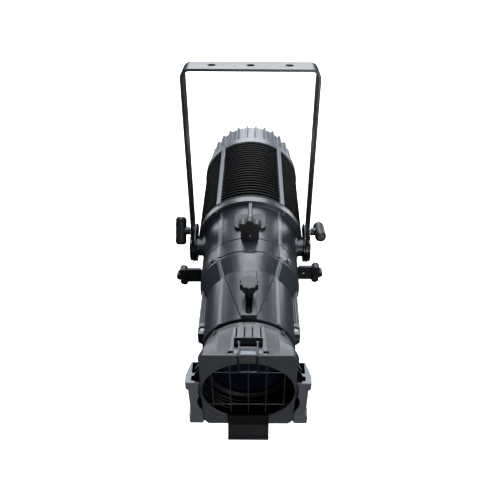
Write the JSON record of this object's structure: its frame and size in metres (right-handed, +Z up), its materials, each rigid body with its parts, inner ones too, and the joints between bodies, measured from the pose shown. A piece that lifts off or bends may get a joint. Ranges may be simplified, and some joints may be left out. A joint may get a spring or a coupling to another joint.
{
  "type": "profile spotlight",
  "caption": "Hanging LED profile spotlight with tilting yoke, locking T-handles, framing shutters, rotating barrel, sliding focus lens tube and accessory holder.",
  "frame": {"origin": "centre of the middle hanging hole, in the outer face of the yoke's top bar", "axes": "+Z up with the lamp level; the lamp throws its light towards -Y; +X is to the right seen from the front"},
  "size_m": [0.2552, 0.6104, 0.43],
  "materials": {
    "slate_paint": "satin slate-grey paint on cast aluminium",
    "black_paint": "satin black powder coat",
    "pale_cast": "light grey satin cast aluminium",
    "black_fins": "black anodised",
    "dark_tube": "black anodised",
    "steel": "zinc-plated steel",
    "dark_steel": "blackened steel",
    "spring_wire": "bright spring wire",
    "black_plastic": "moulded black plastic",
    "brake_lining": "pressed fibre",
    "lens_glass": "coated clear glass",
    "reflector_mirror": "vacuum-coated",
    "led_phosphor": "phosphor-coated array",
    "board_green": "solder mask",
    "panel_grey": "fine-textured plastic",
    "display_dark": "clear window over a dark display",
    "button_grey": "soft moulded",
    "socket_black": "glass-filled plastic",
    "socket_metal": "nickel-plated shell"
  },
  "bodies": {
    "yoke": {"yoke": "black_paint", "friction_washers": "brake_lining", "lock_nuts": "steel", "brake_pads": "brake_lining"},
    "lock_left": {"lock_handle_left": "black_plastic", "lock_stud_left": "steel"},
    "lock_right": {"lock_handle_right": "black_plastic", "lock_stud_right": "steel"},
    "housing": {"rear_housing": "slate_paint", "slot_cover": "slate_paint", "flange_screws": "dark_steel", "tilt_plates": "black_paint", "pivot_bolts": "black_paint", "heat_sink": "black_fins", "sink_bars": "pale_cast", "led_module": "led_phosphor", "reflector": "reflector_mirror", "condenser_lens": "lens_glass", "rear_ring": "pale_cast", "rear_cap": "pale_cast", "cap_screws": "dark_steel", "fan_frame": "black_plastic", "driver_board": "board_green", "control_panel": "panel_grey", "display_window": "display_dark", "power_sockets": "socket_black", "data_sockets": "socket_metal", "gate_ring": "slate_paint", "gate_plates": "dark_tube", "gate_screws": "dark_steel"},
    "fan": {"fan_rotor": "black_plastic"},
    "button_menu": {"button_menu": "button_grey"},
    "button_down": {"button_down": "button_grey"},
    "button_up": {"button_up": "button_grey"},
    "button_enter": {"button_enter": "button_grey"},
    "shutter_top": {"shutter_blade_top": "steel", "shutter_handle_top": "black_plastic"},
    "shutter_left": {"shutter_blade_left": "steel", "shutter_handle_left": "black_plastic"},
    "shutter_bottom": {"shutter_blade_bottom": "steel", "shutter_handle_bottom": "black_plastic"},
    "shutter_right": {"shutter_blade_right": "steel", "shutter_handle_right": "black_plastic"},
    "barrel": {"barrel_top": "slate_paint", "barrel_bottom": "slate_paint", "barrel_screws": "dark_steel"},
    "focus": {"lens_tube": "dark_tube", "rear_lens": "lens_glass", "lens_rings": "dark_tube", "front_lens": "lens_glass", "accessory_holder": "slate_paint", "holder_screws": "dark_steel", "front_plate": "slate_paint", "guard": "spring_wire", "front_tab": "black_paint", "clip_bracket": "black_paint", "clip_spring": "spring_wire", "focus_stud": "steel"},
    "knob": {"focus_knob": "black_plastic"},
    "clip": {"clip_wire": "spring_wire"}
  },
  "joints": [
    {"name": "lamp_tilt", "type": "hinge", "parent": "yoke", "child": "housing", "pos_m": [0, -0.0324, -0.3083], "axis": [1, 0, 0], "range_deg": [-36, 54]},
    {"name": "left_lock_turn", "type": "hinge", "parent": "yoke", "child": "lock_left", "pos_m": [-0.11, -0.02891, -0.27509], "axis": [-1, 0, 0], "range_deg": [0, 180]},
    {"name": "right_lock_turn", "type": "hinge", "parent": "yoke", "child": "lock_right", "pos_m": [0.11, -0.02891, -0.27509], "axis": [1, 0, 0], "range_deg": [0, 180]},
    {"name": "fan_spin", "type": "hinge", "parent": "housing", "child": "fan", "pos_m": [0, 0.1916, -0.3083], "axis": [0, -1, 0], "continuous": true},
    {"name": "menu_button_press", "type": "slide", "parent": "housing", "child": "button_menu", "axis": [0, -1, 0], "range_m": [0, 0.001], "stiffness_N_per_m": 800, "springref_m": -0.0005},
    {"name": "down_button_press", "type": "slide", "parent": "housing", "child": "button_down", "axis": [0, -1, 0], "range_m": [0, 0.001], "stiffness_N_per_m": 800, "springref_m": -0.0005},
    {"name": "up_button_press", "type": "slide", "parent": "housing", "child": "button_up", "axis": [0, -1, 0], "range_m": [0, 0.001], "stiffness_N_per_m": 800, "springref_m": -0.0005},
    {"name": "enter_button_press", "type": "slide", "parent": "housing", "child": "button_enter", "axis": [0, -1, 0], "range_m": [0, 0.001], "stiffness_N_per_m": 800, "springref_m": -0.0005},
    {"name": "top_shutter_slide", "type": "slide", "parent": "housing", "child": "shutter_top", "axis": [0, 0, 1], "range_m": [0, 0.034]},
    {"name": "left_shutter_slide", "type": "slide", "parent": "housing", "child": "shutter_left", "axis": [-1, 0, 0], "range_m": [0, 0.034]},
    {"name": "bottom_shutter_slide", "type": "slide", "parent": "housing", "child": "shutter_bottom", "axis": [0, 0, -1], "range_m": [0, 0.034]},
    {"name": "right_shutter_slide", "type": "slide", "parent": "housing", "child": "shutter_right", "axis": [1, 0, 0], "range_m": [0, 0.034]},
    {"name": "barrel_turn", "type": "hinge", "parent": "housing", "child": "barrel", "pos_m": [0, -0.1274, -0.3083], "axis": [0, -1, 0], "range_deg": [-25, 25]},
    {"name": "focus_slide", "type": "slide", "parent": "barrel", "child": "focus", "axis": [0, -1, 0], "range_m": [0, 0.03]},
    {"name": "focus_knob_turn", "type": "hinge", "parent": "focus", "child": "knob", "pos_m": [0, -0.2209, -0.2183], "axis": [0, 0, 1], "range_deg": [-180, 180]},
    {"name": "clip_open", "type": "hinge", "parent": "focus", "child": "clip", "pos_m": [0, -0.3099, -0.22755], "axis": [-1, 0, 0], "range_deg": [0, 110]}
  ]
}
